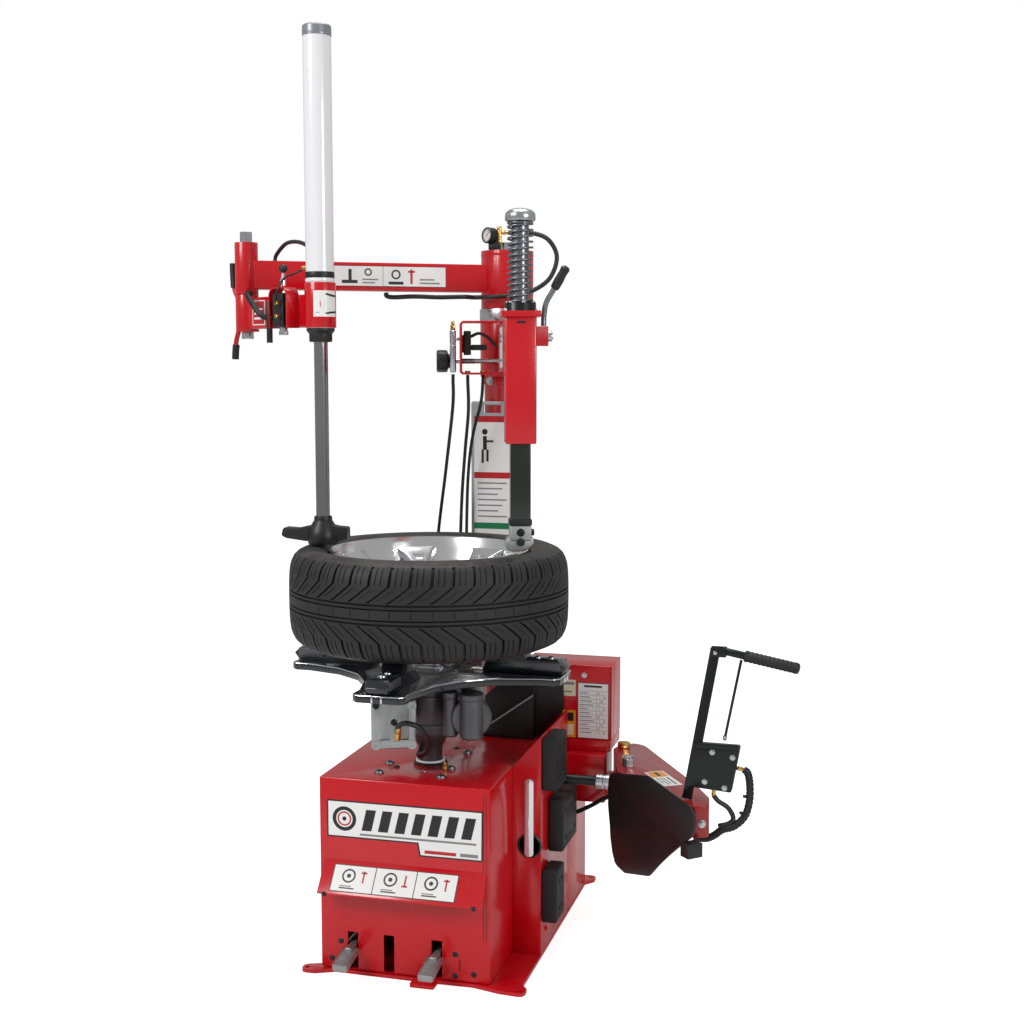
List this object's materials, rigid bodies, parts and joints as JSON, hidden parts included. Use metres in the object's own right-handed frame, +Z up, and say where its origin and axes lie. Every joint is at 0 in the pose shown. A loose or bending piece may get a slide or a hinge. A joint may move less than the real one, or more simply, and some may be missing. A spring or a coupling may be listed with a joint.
{
  "type": "tyre changer machine",
  "caption": "Pedal-operated tyre changer with a clamping turntable, swing-arm mount head, pneumatic press arm and side bead loosener, holding a wheel.",
  "frame": {"origin": "on the floor under the turntable's axis, at the underside of the base plate", "axes": "+Z up; the front with the pedals faces -Y; +X is to the right seen from the front"},
  "size_m": [1.4323, 0.9197, 2.191],
  "materials": {
    "red_paint": "glossy red powder coat on steel",
    "black_plastic": "moulded black plastic",
    "black_rubber": "matt black rubber",
    "black_steel": "blackened steel, lightly oiled",
    "zinc_plate": "bright zinc-plated steel",
    "chrome": "polished chromed steel",
    "cast_metal": "as-cast aluminium",
    "grey_paint": "satin grey paint",
    "white_paint": "white painted aluminium tube",
    "tyre_rubber": "matt black tyre rubber",
    "polished_alloy": "polished alloy"
  },
  "bodies": {
    "cabinet": {"base_plate": "red_paint", "cabinet_shell": "red_paint", "side_housing": "red_paint", "rear_housing": "red_paint", "front_visor": "red_paint", "tower_cover": "black_plastic", "pad_upper": "black_rubber", "pad_middle": "black_rubber", "pad_lower": "black_rubber", "gear_motor": "grey_paint", "gearbox": "cast_metal", "bead_cylinder": "black_steel", "hinge_bracket": "red_paint", "column": "red_paint", "sign_plate": "grey_paint", "pedal_shaft": "zinc_plate", "control_hose_left": "black_rubber", "control_hose_middle": "black_rubber", "control_hose_right": "black_rubber", "bead_hose": "black_rubber"},
    "turntable": {"turntable_star": "chrome", "turntable_hub": "cast_metal", "clamp_cylinder_left": "cast_metal", "clamp_cylinder_right": "cast_metal", "clamp_hose": "black_rubber", "tyre": "tyre_rubber", "rim": "polished_alloy"},
    "jaw_right": {"jaw_right": "black_steel"},
    "jaw_back": {"jaw_back": "black_steel"},
    "jaw_left": {"jaw_left": "black_steel"},
    "jaw_front": {"jaw_front": "black_steel"},
    "pedal_left": {"pedal_left": "cast_metal"},
    "pedal_right": {"pedal_right": "cast_metal"},
    "tyre_lever": {"tyre_lever": "chrome"},
    "swing_arm": {"swing_arm": "red_paint", "valve_bracket": "red_paint", "lock_valve": "zinc_plate"},
    "lock_knob": {"lock_knob": "black_plastic"},
    "slide_bar": {"slide_bar": "black_steel", "spring_cap": "zinc_plate", "return_spring": "zinc_plate", "mount_head": "chrome"},
    "lock_lever": {"lock_lever": "zinc_plate"},
    "upper_arm": {"upper_arm": "red_paint", "pressure_gauge": "black_plastic", "arm_hose": "black_rubber"},
    "link_arm": {"link_arm": "red_paint", "control_valve": "black_plastic", "press_cylinder": "white_paint", "press_cap": "grey_paint"},
    "press_rod": {"press_rod": "chrome"},
    "press_foot": {"press_foot": "black_plastic"},
    "valve_lever": {"valve_lever": "chrome"},
    "bead_arm": {"bead_arm": "red_paint", "bead_handle": "black_steel", "valve_hose": "black_rubber"},
    "bead_rod": {"bead_rod": "black_steel"},
    "bead_shovel": {"bead_shovel": "black_steel"},
    "grip_lever": {"grip_lever": "black_steel"},
    "trigger_rod": {"trigger_rod": "black_steel"}
  },
  "joints": [
    {"name": "turntable_spin", "type": "hinge", "parent": "cabinet", "child": "turntable", "pos_m": [0, 0, 0.6], "axis": [0, 0, 1], "continuous": true},
    {"name": "jaw_right_slide", "type": "slide", "parent": "turntable", "child": "jaw_right", "axis": [0.9994, -0.0349, 0], "range_m": [-0.04, 0]},
    {"name": "jaw_back_slide", "type": "slide", "parent": "turntable", "child": "jaw_back", "axis": [0.0349, 0.9994, 0], "range_m": [-0.04, 0]},
    {"name": "jaw_left_slide", "type": "slide", "parent": "turntable", "child": "jaw_left", "axis": [-0.9994, 0.0349, 0], "range_m": [-0.04, 0]},
    {"name": "jaw_front_slide", "type": "slide", "parent": "turntable", "child": "jaw_front", "axis": [-0.0349, -0.9994, 0], "range_m": [-0.04, 0]},
    {"name": "pedal_left_hinge", "type": "hinge", "parent": "cabinet", "child": "pedal_left", "pos_m": [-0.1325, -0.02, 0.075], "axis": [1, 0, 0], "range_deg": [0, 7], "stiffness_Nm_per_rad": 6, "springref_deg": -14.32},
    {"name": "pedal_right_hinge", "type": "hinge", "parent": "cabinet", "child": "pedal_right", "pos_m": [0.0725, -0.02, 0.075], "axis": [1, 0, 0], "range_deg": [0, 7], "stiffness_Nm_per_rad": 6, "springref_deg": -14.32},
    {"name": "tyre_lever_lift", "type": "slide", "parent": "cabinet", "child": "tyre_lever", "axis": [0, 0, 1], "range_m": [0, 0.1]},
    {"name": "swing_arm_hinge", "type": "hinge", "parent": "cabinet", "child": "swing_arm", "pos_m": [0.072, 0.44, 1.455], "axis": [0, 0, 1], "range_deg": [0, 70]},
    {"name": "lock_knob_turn", "type": "hinge", "parent": "swing_arm", "child": "lock_knob", "pos_m": [-0.03722, 0.24559, 1.425], "axis": [-0.9489, -0.3156, 0], "range_deg": [0, 270]},
    {"name": "bar_slide", "type": "slide", "parent": "swing_arm", "child": "slide_bar", "axis": [0, 0, 1], "range_m": [0, 0.12], "deforming": ["return_spring"]},
    {"name": "lock_lever_turn", "type": "hinge", "parent": "swing_arm", "child": "lock_lever", "pos_m": [0.28529, -0.03327, 1.48], "axis": [0, 0, 1], "range_deg": [-70, 70]},
    {"name": "upper_arm_hinge", "type": "hinge", "parent": "cabinet", "child": "upper_arm", "pos_m": [0.072, 0.44, 1.63], "axis": [0, 0, 1], "range_deg": [-60, 10]},
    {"name": "link_arm_hinge", "type": "hinge", "parent": "upper_arm", "child": "link_arm", "pos_m": [-0.505, 0.1, 1.54], "axis": [0, 0, 1], "range_deg": [-60, 35]},
    {"name": "press_rod_slide", "type": "slide", "parent": "link_arm", "child": "press_rod", "axis": [0, 0, 1], "range_m": [0, 0.4]},
    {"name": "foot_swivel", "type": "hinge", "parent": "press_rod", "child": "press_foot", "pos_m": [-0.248, -0.05, 1.03], "axis": [0, 0, 1], "continuous": true},
    {"name": "valve_lever_tilt", "type": "hinge", "parent": "link_arm", "child": "valve_lever", "pos_m": [-0.34797, -0.03565, 1.6], "axis": [0.8637, -0.5041, 0], "range_deg": [-10, 10], "stiffness_Nm_per_rad": 0.8},
    {"name": "bead_arm_hinge", "type": "hinge", "parent": "cabinet", "child": "bead_arm", "pos_m": [0.411, 0.324, 0.41], "axis": [0, 0, 1], "range_deg": [-18, 12]},
    {"name": "bead_rod_slide", "type": "slide", "parent": "cabinet", "child": "bead_rod", "axis": [1, 0, 0], "range_m": [-0.053, 0.0355]},
    {"name": "bead_shovel_swivel", "type": "hinge", "parent": "bead_arm", "child": "bead_shovel", "pos_m": [0.65048, -0.14413, 0.36], "axis": [0, 0, 1], "range_deg": [0, 4]},
    {"name": "grip_squeeze", "type": "hinge", "parent": "bead_arm", "child": "grip_lever", "pos_m": [0.689, -0.08, 0.786], "axis": [0, 1, 0], "range_deg": [0, 6], "stiffness_Nm_per_rad": 5, "springref_deg": -8.59},
    {"name": "trigger_rod_slide", "type": "slide", "parent": "bead_arm", "child": "trigger_rod", "axis": [-0.1836, 0, -0.983], "range_m": [0, 0.0062]}
  ],
  "couplings": [
    {"joint": "jaw_back_slide", "follows": "jaw_right_slide", "ratio": 1},
    {"joint": "jaw_left_slide", "follows": "jaw_right_slide", "ratio": 1},
    {"joint": "jaw_front_slide", "follows": "jaw_right_slide", "ratio": 1},
    {"joint": "bead_rod_slide", "follows": "bead_arm_hinge", "m_per_rad": 0.164},
    {"joint": "trigger_rod_slide", "follows": "grip_squeeze", "m_per_rad": 0.0556}
  ]
}
